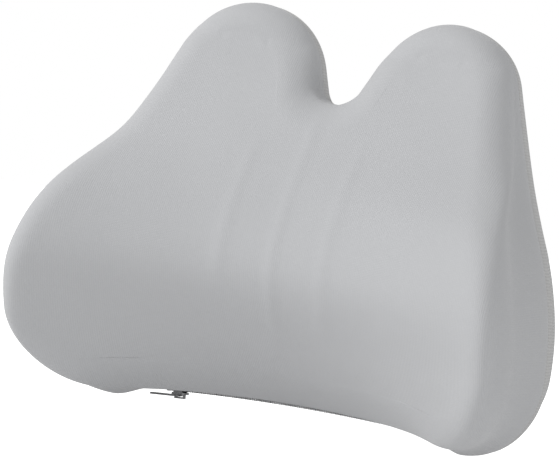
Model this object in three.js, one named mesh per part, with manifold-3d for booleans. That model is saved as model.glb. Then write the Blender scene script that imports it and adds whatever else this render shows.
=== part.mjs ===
// Chair headrest attachment: a two-eared memory-foam cushion in a zipped cover, with an
// elastic strap and a side-release buckle behind it. Millimetres, +Z up.
//
// The front faces -Y, the flat back lies in the plane Y = 0, and the strap is at +Y.
// Heights in this file are measured from the bottom of the two lobes; the finished group
// is lowered by MOUNT_Z, so that its origin is the point of the back that meets the chair.
import * as THREE from "three";
import Module from "manifold-3d";

const wasm = await Module();
wasm.setup();

// ---- cushion outline: half of it, as tangent arcs and lines from the notch outwards ----
const NOTCH_R = 15.6;
const NOTCH_SWEEP = 74;
const EAR_INNER_LINE = 14.4;
const EAR_TOP_R = 47;
const EAR_TOP_SWEEP = 113.3;
const EAR_OUTER_R = 40.3;
const EAR_OUTER_SWEEP = 36.5;
const EAR_OUTER_LINE = 24;
const FLANK_R = 500;
const FLANK_SWEEP = 8.2;
const LOBE_SIDE_R = 190;
const LOBE_SIDE_SWEEP = 23.1;
const LOBE_CORNER_R = 45.4;
const LOBE_CORNER_SWEEP = 93.8;

// ---- cushion depth ----
const BACK_ROUND_R = 11;
const FRONT_ROUND_R = 19;
const WALL_FLARE = 0.08; // the wall leans out towards the front, per mm of depth
const WALL_BULGE = 0.1; // the wall's belly, per mm of depth
const LEAST_WALL = 4;
const RIM_LIP = 0.6; // the rim's depth is read this share of FRONT_ROUND_R inside the outline
const WING_X = 140; // where the wing depth below is reached
const HUB_Z = 84; // the rows of the front and back faces shrink towards this height
// Depth of the front face at the middle, and how much further forward it is at the wings.
const DEPTH_STATIONS = [
  { z: 0, middle: 25, wing: 82 },
  { z: 40, middle: 66.5, wing: 57.5 },
  { z: 80, middle: 93, wing: 41 },
  { z: 120, middle: 86, wing: 33.5 },
  { z: 160, middle: 64, wing: 8 },
  { z: 220, middle: 31, wing: 14 },
];

// ---- layers, from the outside in ----
const COVER_T = 1.0;
const LINER_FROM = 2.6;
const LINER_T = 0.5;
const FOAM_FROM = 4.6;
const SEAM_SHARE = 0.5; // the side seam's place across the wall, from the back
const SEAM_GAP = 0.15;
const LINER_GAP = 1;

// ---- zip in the bottom arch ----
const ZIP_DEPTH = 17;
const ZIP_HALF_LENGTH = 92;
const ZIP_OPEN_HALF = 99; // the cover's edges draw together beyond this
const ZIP_FADE = 14;
const ZIP_OPENING = 4.6;
const ZIP_BELOW = 60; // only the part of the outline lower than this holds the zip
const ZIP_PROUD = 0.4; // how far the coils' middle stands out from the wall
const COIL_W = 2.5;
const COIL_T = 1.6;
const COIL_GAP = 0.15; // from the chain's middle line to either coil
const TAPE_W = 4.1;
const TAPE_T = 0.5;
const TAPE_GAP = 0.2; // from the chain's middle line to either tape
const TAPE_FROM = 1.3;
const TAPE_SHORT = 2; // the tapes end this far inside the zip's length
const STOP_LENGTH = 3;
const STOP_GAP = 0.05;
const SLIDER_LENGTH = 10;
const SLIDER_W = 7.8;
const SLIDER_CORNER_R = 2.4;
const SLIDER_PLATE_T = 1.2;
const SLIDER_LIFT = 1.3; // underside of the slider's plate above the wall
const SLIDER_FLANGE_T = 0.9;
const SLIDER_FLANGE_SHORT = 2;
const SLIDER_FLANGE_LOW = -0.7; // the flanges reach this height, beside the coils
const BRIDGE_LENGTH = 7;
const BRIDGE_W = 2;
const BRIDGE_GAP = 1.6;
const BRIDGE_T = 1;
const BRIDGE_POST = 1.2;
const PULL_W = 5.6;
const PULL_T = 1.1;
const PULL_LENGTH = 20;
const PULL_CORNER_R = 1.6;
const PULL_EYE = 4;
const PULL_ARM_W = 1.2;
const PULL_BAR_REACH = 0.6; // the eye's end bar takes up this much of the tab's end
const SLIDER_X = -82;

// ---- strap and buckle, behind the back ----
const STRAP_Z = 95;
const STRAP_W = 30;
const STRAP_T = 1.6;
const BUCKLE_Y = 24;
const LAYER_R = 3.3; // the strap's turn round a buckle bar, at its middle
const PATCH_X = 110;
const PATCH_LENGTH = 36;
const PATCH_W = 42;
const PATCH_H = 3.3;
const PATCH_CORNER_R = 3;
const SKIN_GAP = 0.3;
const STRAP_END_IN = 5; // the strap ends this far inside a patch's outer edge
const POCKET_END_GAP = 0.6; // the pocket under a patch is this much longer than the strap
const RAMP_FROM = 92;
const RAMP_TO = 66;
const SOCKET_LEFT = -22;
const SOCKET_RIGHT = 12;
const SOCKET_CORE = 3; // solid between the strap's slot and the prongs' cavity
const SOCKET_FACE_T = 1.8;
const SOCKET_SIDE_T = 2.4;
const WINDOW_FROM = -7;
const WINDOW_TO = 4;
const PLUG_GAP = 0.5;
const PLUG_SQUARE = 6; // the plug's base has square corners for this length
const PLUG_RIGHT = 36;
const SEWN_BACK = 22; // the fixed side's strap runs back along itself for this length
const BUCKLE_W = 38;
const BUCKLE_T = 10;
const BUCKLE_CORNER_R = 5;
const STRAP_END_T = 4; // a buckle's strap end is thinned to this between its two edges
const STRAP_END_EDGE = 3.2;
const BAR_T = 2.4;
const SLOT_W = 4.4;
const SLOT_LENGTH = 31.6;
const TONGUE_T = 4;
const TONGUE_W = 8;
const TONGUE_GAP = 2;
const TONGUE_ROOT = 3;
const PRONG_ROOT = 0.3; // the prongs' roots stand this far in front of the plug's base
const GLIDE_X = -44;
const GLIDE_LENGTH = 24;
const GLIDE_W = 38;
const GLIDE_T = 2.4;
const GLIDE_BAR = 3;
const GLIDE_CORNER_R = 4;
const GLIDE_CENTRE_W = 1.6; // section of the glide's middle bar
const GLIDE_Y = BUCKLE_Y + LAYER_R + 2.3;
const HUMP_H = 6.5; // the strap climbs this much over the glide's middle bar
const HUMP_TURN = 60;
const HUMP_R = 2.2;
const WRAP_R = 2.1; // its end's turn round the same bar
const WRAP_TAIL = 1.5;
const CLIMB_FROM = 2; // the return layer leaves the straight this far beside the glide

// ---- care label ----
const LABEL_X = -52;
const LABEL_Z = 42;
const LABEL_W = 26;
const LABEL_H = 34;
const LABEL_T = 0.4;

const MOUNT_Z = 152;

// Cuts reach CUT past what they cut, and solids that are joined reach MERGE into each other.
const CUT = 1;
const MERGE = 0.3;

const headrest = new THREE.Group();
const radians = THREE.MathUtils.degToRad;

// ======================================================================================
// Cushion surface
// ======================================================================================

// One half of the outline from the bottom of the notch to the middle of the bottom arch:
// points with their inward normals. The last arc closes on the symmetry plane.
function halfOutline() {
  const points = [];
  let x = 0;
  let z = 0;
  let heading = 0;
  const push = () => points.push({ x, z, nx: Math.sin(heading), nz: -Math.cos(heading) });
  const line = (length, steps) => {
    for (let k = 0; k < steps; k++) {
      x += (length / steps) * Math.cos(heading);
      z += (length / steps) * Math.sin(heading);
      push();
    }
  };
  const arc = (radius, sweep, steps) => {
    const side = Math.sign(sweep);
    const cx = x - side * radius * Math.sin(heading);
    const cz = z + side * radius * Math.cos(heading);
    const turn = radians(sweep) / steps;
    for (let k = 0; k < steps; k++) {
      heading += turn;
      x = cx + side * radius * Math.sin(heading);
      z = cz - side * radius * Math.cos(heading);
      push();
    }
  };
  push();
  arc(NOTCH_R, NOTCH_SWEEP, 4);
  line(EAR_INNER_LINE, 1);
  arc(EAR_TOP_R, -EAR_TOP_SWEEP, 6);
  arc(EAR_OUTER_R, -EAR_OUTER_SWEEP, 2);
  line(EAR_OUTER_LINE, 1);
  arc(FLANK_R, FLANK_SWEEP, 2);
  arc(LOBE_SIDE_R, -LOBE_SIDE_SWEEP, 4);
  arc(LOBE_CORNER_R, -LOBE_CORNER_SWEEP, 6);
  const closing = -(heading + Math.PI);
  const archRadius = x / Math.sin(closing);
  arc(archRadius, THREE.MathUtils.radToDeg(closing), 7);
  const lowest = Math.min(...points.map((p) => p.z));
  points.forEach((p) => (p.z -= lowest));
  return { points, archRadius, archTop: points.at(-1).z };
}

// Smooth curve through the depth stations, flat beyond both ends.
function stationValue(key, z) {
  const s = DEPTH_STATIONS;
  const at = THREE.MathUtils.clamp(z, s[0].z, s.at(-1).z);
  let k = 0;
  while (k < s.length - 2 && at > s[k + 1].z) k++;
  const slope = (i) => {
    const a = Math.max(i - 1, 0);
    const b = Math.min(i + 1, s.length - 1);
    return (s[b][key] - s[a][key]) / (s[b].z - s[a].z);
  };
  const h = s[k + 1].z - s[k].z;
  const t = (at - s[k].z) / h;
  const t2 = t * t;
  const t3 = t2 * t;
  return (
    (2 * t3 - 3 * t2 + 1) * s[k][key] +
    (t3 - 2 * t2 + t) * h * slope(k) +
    (3 * t2 - 2 * t3) * s[k + 1][key] +
    (t3 - t2) * h * slope(k + 1)
  );
}

function frontDepth(x, z) {
  const share = (x / WING_X) ** 2;
  return stationValue("middle", z) + share * stationValue("wing", z);
}

const half = halfOutline();
const mirrored = half.points
  .slice(1, -1)
  .reverse()
  .map((p) => ({ ...p, x: -p.x, nx: -p.nx }));
const archCentreZ = half.archTop - half.archRadius;

// Each column of the cushion's mesh crosses the outline at one of its points.
const columns = [...half.points, ...mirrored].map((p) => {
  const lip = RIM_LIP * FRONT_ROUND_R;
  const rim = frontDepth(p.x + lip * p.nx, p.z + lip * p.nz);
  const wall = Math.max(rim - FRONT_ROUND_R - BACK_ROUND_R, LEAST_WALL);
  const fromZip = (Math.abs(p.x) - ZIP_OPEN_HALF) / ZIP_FADE;
  const zip = p.z < ZIP_BELOW ? 1 - THREE.MathUtils.smoothstep(fromZip, 0, 1) : 0;
  const seamDepth = BACK_ROUND_R + SEAM_SHARE * wall;
  return {
    ...p,
    wall,
    zip,
    flare: WALL_FLARE * wall * (1 - zip),
    seam: seamDepth + zip * (ZIP_DEPTH - seamDepth),
  };
});

// The cushion's outside, from the middle of the back out and round to the middle of the
// front: each stretch gives the point where column c crosses it.
const surface = {
  backFace: (c, share) => {
    const x = c.x + BACK_ROUND_R * c.nx;
    const z = c.z + BACK_ROUND_R * c.nz;
    return [x * share, 0, HUB_Z + (z - HUB_Z) * share];
  },
  backRound: (c, angle) => {
    const inset = BACK_ROUND_R * (1 - Math.sin(radians(angle)));
    const y = BACK_ROUND_R * (1 - Math.cos(radians(angle)));
    return [c.x + inset * c.nx, -y, c.z + inset * c.nz];
  },
  wall: (c, share) => {
    const belly = WALL_BULGE * Math.sin(Math.PI * share) ** 2;
    const inset = -(c.flare * share + (1 - c.zip) * belly * c.wall);
    return [c.x + inset * c.nx, -(BACK_ROUND_R + share * c.wall), c.z + inset * c.nz];
  },
  frontRound: (c, angle) => {
    const inset = FRONT_ROUND_R * (1 - Math.cos(radians(angle))) - c.flare;
    const x = c.x + inset * c.nx;
    const z = c.z + inset * c.nz;
    const up = Math.sin(radians(angle));
    const low = BACK_ROUND_R + c.wall;
    return [x, -(low + up * (frontDepth(x, z) - low)), z];
  },
  frontFace: (c, share) => {
    const inset = FRONT_ROUND_R - c.flare;
    const x = (c.x + inset * c.nx) * share;
    const z = HUB_Z + (c.z + inset * c.nz - HUB_Z) * share;
    return [x, -frontDepth(x, z), z];
  },
};

// The point of column k that lies `deep` mm inside the surface, square to it.
function under(kind, k, amount, deep) {
  const c = columns[k];
  const point = new THREE.Vector3(...surface[kind](c, amount));
  const step = 1e-3;
  const difference = (a, b) => new THREE.Vector3(...a).sub(new THREE.Vector3(...b));
  const along = difference(surface[kind](c, amount + step), surface[kind](c, amount - step));
  if (kind === "frontFace") along.negate();
  const next = columns[(k + 1) % columns.length];
  const previous = columns[(k + columns.length - 1) % columns.length];
  const across = difference(surface[kind](next, amount), surface[kind](previous, amount));
  const inwards = across.cross(along).normalize();
  return point.addScaledVector(inwards, deep).toArray();
}

const row = (kind, deep, amount) => columns.map((c, k) => under(kind, k, amount, deep));

// The share of the wall at `away(c)` mm in front of the seam.
const rimShare = (c, away) => (c.seam + away(c) - BACK_ROUND_R) / c.wall;
const rimRow = (deep, away) =>
  columns.map((c, k) => under("wall", k, rimShare(c, away), deep));

const backPole = (deep) => [0, -deep, HUB_Z];

function frontPole(deep) {
  const step = 1e-3;
  const slope = (frontDepth(0, HUB_Z + step) - frontDepth(0, HUB_Z - step)) / (2 * step);
  const inwards = new THREE.Vector3(0, 1, slope).normalize();
  return [0, -frontDepth(0, HUB_Z) + deep * inwards.y, HUB_Z + deep * inwards.z];
}

// Rows from a front shell's rim forwards to the middle of the front face.
function frontRows(deep, away) {
  const halfWay = columns.map((c, k) => {
    return under("wall", k, (rimShare(c, away) + 1) / 2, deep);
  });
  return [
    rimRow(deep, away),
    halfWay,
    row("wall", deep, 1),
    row("frontRound", deep, 30),
    row("frontRound", deep, 60),
    row("frontRound", deep, 90),
    row("frontFace", deep, 0.76),
    row("frontFace", deep, 0.52),
    row("frontFace", deep, 0.26),
  ];
}

// Rows from the middle of the back face out and forwards to a back shell's rim.
function backRows(deep, away) {
  return [
    row("backFace", deep, 0.6),
    row("backRound", deep, 0),
    row("backRound", deep, 35),
    row("backRound", deep, 65),
    row("backRound", deep, 90),
    rimRow(deep, away),
  ];
}

// A closed mesh through closed rows of points, with one point at each end. The first
// `inner` rows run the other way, along a shell's inside: their quads are split along the
// other diagonal, so that nested layers keep the same facets.
function loft(firstPole, rows, lastPole, inner = 0) {
  const n = rows[0].length;
  const position = [...firstPole, ...rows.flat(2), ...lastPole];
  const index = [];
  const last = 1 + rows.length * n;
  const at = (r, k) => 1 + r * n + (k % n);
  for (let k = 0; k < n; k++) {
    index.push(0, at(0, k), at(0, k + 1));
    index.push(last, at(rows.length - 1, k + 1), at(rows.length - 1, k));
    for (let r = 0; r < rows.length - 1; r++) {
      if (r < inner - 1) {
        index.push(at(r, k), at(r + 1, k), at(r, k + 1));
        index.push(at(r + 1, k), at(r + 1, k + 1), at(r, k + 1));
      } else {
        index.push(at(r, k), at(r + 1, k), at(r + 1, k + 1));
        index.push(at(r, k), at(r + 1, k + 1), at(r, k + 1));
      }
    }
  }
  return outwards(position, index);
}

// An indexed geometry, turned so that its faces point out.
function outwards(position, index) {
  const p = (i) => new THREE.Vector3().fromArray(position, 3 * i);
  let volume = 0;
  for (let i = 0; i < index.length; i += 3) {
    volume += p(index[i]).dot(p(index[i + 1]).cross(p(index[i + 2])));
  }
  if (volume < 0) index.reverse();
  const geometry = new THREE.BufferGeometry();
  geometry.setAttribute("position", new THREE.Float32BufferAttribute(position, 3));
  geometry.setIndex(index);
  return geometry;
}

// ======================================================================================
// Small solids
// ======================================================================================

function manifoldOf(geometry) {
  const index = geometry.index
    ? geometry.index.array
    : Array.from({ length: geometry.attributes.position.count }, (_, i) => i);
  const mesh = new wasm.Mesh({
    numProp: 3,
    vertProperties: new Float32Array(geometry.attributes.position.array),
    triVerts: new Uint32Array(index),
  });
  mesh.merge();
  return new wasm.Manifold(mesh);
}

function geometryOf(solid) {
  const mesh = solid.getMesh();
  const geometry = new THREE.BufferGeometry();
  const position = Array.from(mesh.vertProperties);
  geometry.setAttribute("position", new THREE.Float32BufferAttribute(position, 3));
  geometry.setIndex(Array.from(mesh.triVerts));
  return geometry;
}

// A box given by its lowest and highest corners.
function box(low, high) {
  const size = high.map((h, i) => h - low[i]);
  return wasm.Manifold.cube(size).translate(low);
}

// A plate in the XZ plane with rounded corners, from y0 to y1.
function roundedPlate(x0, x1, z0, z1, y0, y1, radius, steps = 4) {
  const shape = new THREE.Shape();
  shape.moveTo(x0 + radius, z0);
  shape.absarc(x1 - radius, z0 + radius, radius, -Math.PI / 2, 0);
  shape.absarc(x1 - radius, z1 - radius, radius, 0, Math.PI / 2);
  shape.absarc(x0 + radius, z1 - radius, radius, Math.PI / 2, Math.PI);
  shape.absarc(x0 + radius, z0 + radius, radius, Math.PI, 1.5 * Math.PI);
  const options = { depth: y1 - y0, bevelEnabled: false, curveSegments: steps };
  const geometry = new THREE.ExtrudeGeometry(shape, options);
  geometry.rotateX(Math.PI / 2).translate(0, y1, 0);
  return manifoldOf(geometry);
}

// A path in the XY plane, as a pen that draws lines and arcs.
function path(x, y, heading = 0) {
  const points = [];
  let at = [x, y];
  let angle = radians(heading);
  const pen = {
    points,
    line(length, steps = 1) {
      for (let k = 0; k < steps; k++) {
        at = [at[0] + (length / steps) * Math.cos(angle), at[1] + (length / steps) * Math.sin(angle)];
        points.push([...at]);
      }
      return pen;
    },
    arc(radius, sweep, steps = 6) {
      const side = Math.sign(sweep);
      const centre = [at[0] - side * radius * Math.sin(angle), at[1] + side * radius * Math.cos(angle)];
      for (let k = 0; k < steps; k++) {
        angle += radians(sweep) / steps;
        at = [centre[0] + side * radius * Math.sin(angle), centre[1] - side * radius * Math.cos(angle)];
        points.push([...at]);
      }
      return pen;
    },
    here: () => at,
  };
  points.push([...at]);
  return pen;
}

// A flat ribbon: its middle line follows a path in the XY plane, its width lies along Z.
function ribbon(points, thickness, z0, z1) {
  const position = [];
  const index = [];
  const n = points.length;
  const direction = (a, b) => new THREE.Vector2(b[0] - a[0], b[1] - a[1]).normalize();
  points.forEach((p, k) => {
    const before = direction(points[Math.max(k - 1, 0)], points[Math.max(k, 1)]);
    const after = direction(points[Math.min(k, n - 2)], points[Math.min(k + 1, n - 1)]);
    const along = before.clone().add(after).normalize();
    const reach = thickness / 2 / along.dot(before);
    const nx = -along.y * reach;
    const ny = along.x * reach;
    position.push(p[0] + nx, p[1] + ny, z0, p[0] + nx, p[1] + ny, z1);
    position.push(p[0] - nx, p[1] - ny, z1, p[0] - nx, p[1] - ny, z0);
  });
  for (let k = 0; k < n - 1; k++) {
    for (let side = 0; side < 4; side++) {
      const a = 4 * k + side;
      const b = 4 * k + ((side + 1) % 4);
      index.push(a, b, b + 4, a, b + 4, a + 4);
    }
  }
  const end = 4 * (n - 1);
  index.push(0, 2, 1, 0, 3, 2, end, end + 1, end + 2, end, end + 2, end + 3);
  return outwards(position, index);
}

// A bar of rectangular section that follows the bottom arch between two angles, in
// degrees from the top of the arch. `out` is the height above the wall, y the depth.
function archBar(from, to, outLow, outHigh, yLow, yHigh, steps) {
  const position = [];
  const index = [];
  const wallRadius = half.archRadius - ZIP_PROUD;
  for (let k = 0; k <= steps; k++) {
    const angle = radians(from + ((to - from) * k) / steps);
    for (const [out, y] of [
      [outLow, yLow],
      [outHigh, yLow],
      [outHigh, yHigh],
      [outLow, yHigh],
    ]) {
      const r = wallRadius - out;
      position.push(r * Math.sin(angle), y, archCentreZ + r * Math.cos(angle));
    }
  }
  for (let k = 0; k < steps; k++) {
    for (let side = 0; side < 4; side++) {
      const a = 4 * k + side;
      const b = 4 * k + ((side + 1) % 4);
      index.push(a, b, b + 4, a, b + 4, a + 4);
    }
  }
  const end = 4 * steps;
  index.push(0, 2, 1, 0, 3, 2, end, end + 1, end + 2, end, end + 2, end + 3);
  return outwards(position, index);
}

// Moves a solid drawn at the top of the arch, with +Z pointing out of the wall, to the
// place on the arch that is `angle` degrees from its top.
function ontoArch(solid, angle) {
  const wallRadius = half.archRadius - ZIP_PROUD;
  return solid
    .rotate([180, 0, 0])
    .translate([0, -ZIP_DEPTH, wallRadius])
    .rotate([0, angle, 0])
    .translate([0, 0, archCentreZ]);
}

const archAngle = (x) => THREE.MathUtils.radToDeg(Math.asin(x / half.archRadius));

// ======================================================================================
// Materials and parts
// ======================================================================================

function material(colour, roughness, metalness = 0) {
  return new THREE.MeshStandardMaterial({ color: colour, roughness, metalness });
}

const knit = material(0xbfc1c4, 0.95);
const backFabric = material(0xb4b4b3, 0.95);
const linerFabric = material(0xeeeeea, 0.95);
const foam = material(0xf3efe2, 1);
const zipFabric = material(0x4c4d50, 0.9);
const zipPlastic = material(0x3a3b3e, 0.5);
const zipMetal = material(0x4a4b4f, 0.35, 0.8);
const webbing = material(0x26272a, 0.9);
const buckleBlack = material(0x1b1c1e, 0.45);
const labelWhite = material(0xf2f2f0, 0.8);

function add(name, geometry, look) {
  const mesh = new THREE.Mesh(geometry, look);
  mesh.name = name;
  headrest.add(mesh);
}

function shell(name, outer, inner, look) {
  const [outerPole, outerRows] = outer;
  const [innerPole, innerRows] = inner;
  const rows = [...innerRows.reverse(), ...outerRows];
  add(name, loft(innerPole, rows, outerPole, innerRows.length), look);
}

function cushion() {
  const deepCover = COVER_T;
  const deepLiner = LINER_FROM + LINER_T;
  const opening = (side) => (c) => side * (SEAM_GAP + c.zip * (ZIP_OPENING - SEAM_GAP));
  const plain = (side) => () => side * LINER_GAP;
  const front = (deep, away) => [frontPole(deep), frontRows(deep, away)];
  const back = (deep, away) => [backPole(deep), backRows(deep, away).reverse()];
  shell("cover_front", front(0, opening(1)), front(deepCover, opening(1)), knit);
  shell("cover_back", back(0, opening(-1)), back(deepCover, opening(-1)), backFabric);
  shell("liner_front", front(LINER_FROM, plain(1)), front(deepLiner, plain(1)), linerFabric);
  shell("liner_back", back(LINER_FROM, plain(-1)), back(deepLiner, plain(-1)), linerFabric);
  const none = () => 0;
  const rows = [...backRows(FOAM_FROM, none), ...frontRows(FOAM_FROM, none).slice(1)];
  add("foam_core", loft(backPole(FOAM_FROM), rows, frontPole(FOAM_FROM)), foam);
}

function zip() {
  const end = archAngle(ZIP_HALF_LENGTH - TAPE_SHORT);
  const stop = archAngle(STOP_LENGTH);
  for (const [name, side] of [
    ["front", -1],
    ["back", 1],
  ]) {
    const across = (from, to) => {
      const ys = [-ZIP_DEPTH + side * from, -ZIP_DEPTH + side * to];
      return ys.sort((a, b) => a - b);
    };
    const tape = [-TAPE_FROM - TAPE_T, -TAPE_FROM, ...across(TAPE_GAP, TAPE_GAP + TAPE_W)];
    add(`zip_tape_${name}`, archBar(-end, end, ...tape, 16), zipFabric);
    const coil = [-COIL_T / 2, COIL_T / 2, ...across(COIL_GAP, COIL_GAP + COIL_W)];
    add(`zip_coil_${name}`, archBar(-end + stop, end - stop, ...coil, 24), zipPlastic);
  }
  for (const [name, side] of [
    ["left", -1],
    ["right", 1],
  ]) {
    const from = side * (end - stop + STOP_GAP);
    const to = side * end;
    const width = COIL_W + COIL_GAP;
    const low = -ZIP_DEPTH - width;
    const high = -ZIP_DEPTH + width;
    const bar = archBar(Math.min(from, to), Math.max(from, to), -COIL_T / 2, COIL_T / 2, low, high, 1);
    add(`zip_stop_${name}`, bar, zipMetal);
  }
}

// The slider and its pull, each drawn at the top of the arch and moved along it.
function zipSlider() {
  const angle = archAngle(SLIDER_X);
  const long = SLIDER_LENGTH / 2;
  const wide = SLIDER_W / 2;
  const top = SLIDER_LIFT + SLIDER_PLATE_T;
  const plate = roundedPlate(-long, long, -wide, wide, 0, SLIDER_PLATE_T, SLIDER_CORNER_R)
    .rotate([90, 0, 0])
    .translate([0, 0, SLIDER_LIFT]);
  const flange = (side) => {
    const ys = [side * wide, side * (wide - SLIDER_FLANGE_T)].sort((a, b) => a - b);
    return box(
      [-long + SLIDER_FLANGE_SHORT, ys[0], SLIDER_FLANGE_LOW],
      [long - SLIDER_FLANGE_SHORT, ys[1], top - MERGE],
    );
  };
  const bridgeHalf = BRIDGE_LENGTH / 2;
  const bridgeTop = top + BRIDGE_GAP + BRIDGE_T;
  const bridge = box([-bridgeHalf, -BRIDGE_W / 2, top - MERGE], [bridgeHalf, BRIDGE_W / 2, bridgeTop]);
  const under = box(
    [-bridgeHalf + BRIDGE_POST, -BRIDGE_W, top],
    [bridgeHalf - BRIDGE_POST, BRIDGE_W, top + BRIDGE_GAP],
  );
  const slider = plate.add(flange(1)).add(flange(-1)).add(bridge.subtract(under));
  add("zip_slider", geometryOf(ontoArch(slider, angle)), zipMetal);

  // The pull lies along the zip away from the middle, its eye's end bar under the bridge.
  const barZ = top + BRIDGE_GAP / 2;
  const pullLow = barZ - PULL_T / 2;
  const halfWidth = PULL_W / 2;
  const tab = roundedPlate(-PULL_LENGTH, 0, -halfWidth, halfWidth, 0, PULL_T, PULL_CORNER_R)
    .rotate([90, 0, 0])
    .translate([0, 0, pullLow]);
  const eye = box(
    [-PULL_EYE - PULL_BAR_REACH, -halfWidth + PULL_ARM_W, pullLow - CUT],
    [CUT, halfWidth - PULL_ARM_W, barZ + PULL_T],
  );
  const bar = wasm.Manifold.cylinder(PULL_W, PULL_T / 2, PULL_T / 2, 12, true).rotate([90, 0, 0]);
  const end = box([-PULL_BAR_REACH, -PULL_W, pullLow - CUT], [CUT, PULL_W, barZ + PULL_T]);
  const arms = [-1, 1].map((side) => {
    const ys = [side * halfWidth, side * (halfWidth - PULL_ARM_W)].sort((a, b) => a - b);
    return box([-PULL_BAR_REACH - MERGE, ys[0], pullLow], [0, ys[1], barZ + PULL_T / 2]);
  });
  const pull = tab
    .subtract(end)
    .subtract(eye)
    .add(arms[0])
    .add(arms[1])
    .add(bar.translate([0, 0, barZ]));
  add("zip_pull", geometryOf(ontoArch(pull, angle)), zipMetal);
}

// ---- the strap's path from a patch up to the buckle's height, drawn at -X ----
function strapRamp(height) {
  const start = -(PATCH_X + PATCH_LENGTH / 2 - STRAP_END_IN);
  const low = SKIN_GAP + STRAP_T / 2;
  const rise = height - low;
  const run = RAMP_FROM - RAMP_TO;
  // Two equal arcs meet half way up the ramp.
  const turn = 2 * Math.atan(rise / run);
  const radius = run / 2 / Math.sin(turn);
  const sweep = THREE.MathUtils.radToDeg(turn);
  return path(start, low)
    .line(-RAMP_FROM - start)
    .arc(radius, sweep, 5)
    .arc(radius, -sweep, 5);
}

const strapLow = STRAP_Z - STRAP_W / 2;
const strapHigh = STRAP_Z + STRAP_W / 2;

function straps() {
  // Socket side: over the adjuster's middle bar, round the socket's bar and back.
  const barX = SOCKET_LEFT + BAR_T / 2;
  const outer = BUCKLE_Y + LAYER_R;
  const left = strapRamp(outer);
  const glideStart = GLIDE_X - GLIDE_LENGTH / 2;
  left.line(glideStart + GLIDE_BAR - left.here()[0]);
  const across = 2 * HUMP_R * Math.sin(radians(HUMP_TURN));
  const up = 2 * HUMP_R * (1 - Math.cos(radians(HUMP_TURN)));
  const slope = (HUMP_H - up) / Math.sin(radians(HUMP_TURN));
  const runLength = across + slope * Math.cos(radians(HUMP_TURN));
  const crest = GLIDE_LENGTH - 2 * GLIDE_BAR - 2 * runLength;
  left.arc(HUMP_R, HUMP_TURN, 3).line(slope).arc(HUMP_R, -HUMP_TURN, 3);
  left.line(crest);
  left.arc(HUMP_R, -HUMP_TURN, 3).line(slope).arc(HUMP_R, HUMP_TURN, 3);
  left.line(barX - left.here()[0]);
  left.arc(LAYER_R, -180, 8);
  // The return layer climbs to the adjuster's middle bar and ends round it.
  const backTo = GLIDE_X + GLIDE_LENGTH / 2 + CLIMB_FROM;
  left.line(left.here()[0] - backTo);
  const climb = GLIDE_Y - WRAP_R - left.here()[1];
  const reach = left.here()[0] - GLIDE_X;
  const climbTurn = 2 * Math.atan(climb / reach);
  const climbR = reach / 2 / Math.sin(climbTurn);
  const climbSweep = THREE.MathUtils.radToDeg(climbTurn);
  left.arc(climbR, -climbSweep, 4).arc(climbR, climbSweep, 4);
  left.arc(WRAP_R, -180, 6).line(WRAP_TAIL);
  add("strap_left", ribbon(left.points, STRAP_T, strapLow, strapHigh), webbing);

  // Plug side: round the plug's bar and sewn back on itself. Drawn at -X, then turned.
  const right = strapRamp(BUCKLE_Y - LAYER_R);
  right.line(-(PLUG_RIGHT - BAR_T / 2) - right.here()[0]);
  right.arc(LAYER_R, 180, 8);
  right.line(SEWN_BACK, 2);
  const mirror = right.points.map(([x, y]) => [-x, y]);
  add("strap_right", ribbon(mirror, STRAP_T, strapLow, strapHigh), webbing);
}

function patches() {
  for (const [name, side] of [
    ["anchor_patch_left", -1],
    ["anchor_patch_right", 1],
  ]) {
    const x = side * PATCH_X;
    const cloth = roundedPlate(
      x - PATCH_LENGTH / 2,
      x + PATCH_LENGTH / 2,
      STRAP_Z - PATCH_W / 2,
      STRAP_Z + PATCH_W / 2,
      SKIN_GAP,
      PATCH_H,
      PATCH_CORNER_R,
      2,
    );
    const inboard = side * (PATCH_X - PATCH_LENGTH);
    const outboard = side * (PATCH_X + PATCH_LENGTH / 2 - STRAP_END_IN + POCKET_END_GAP);
    const xs = [inboard, outboard].sort((a, b) => a - b);
    const channel = box(
      [xs[0], 0, strapLow - SKIN_GAP],
      [xs[1], SKIN_GAP + STRAP_T + SKIN_GAP, strapHigh + SKIN_GAP],
    );
    add(name, geometryOf(cloth.subtract(channel)), backFabric);
  }
}

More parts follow.
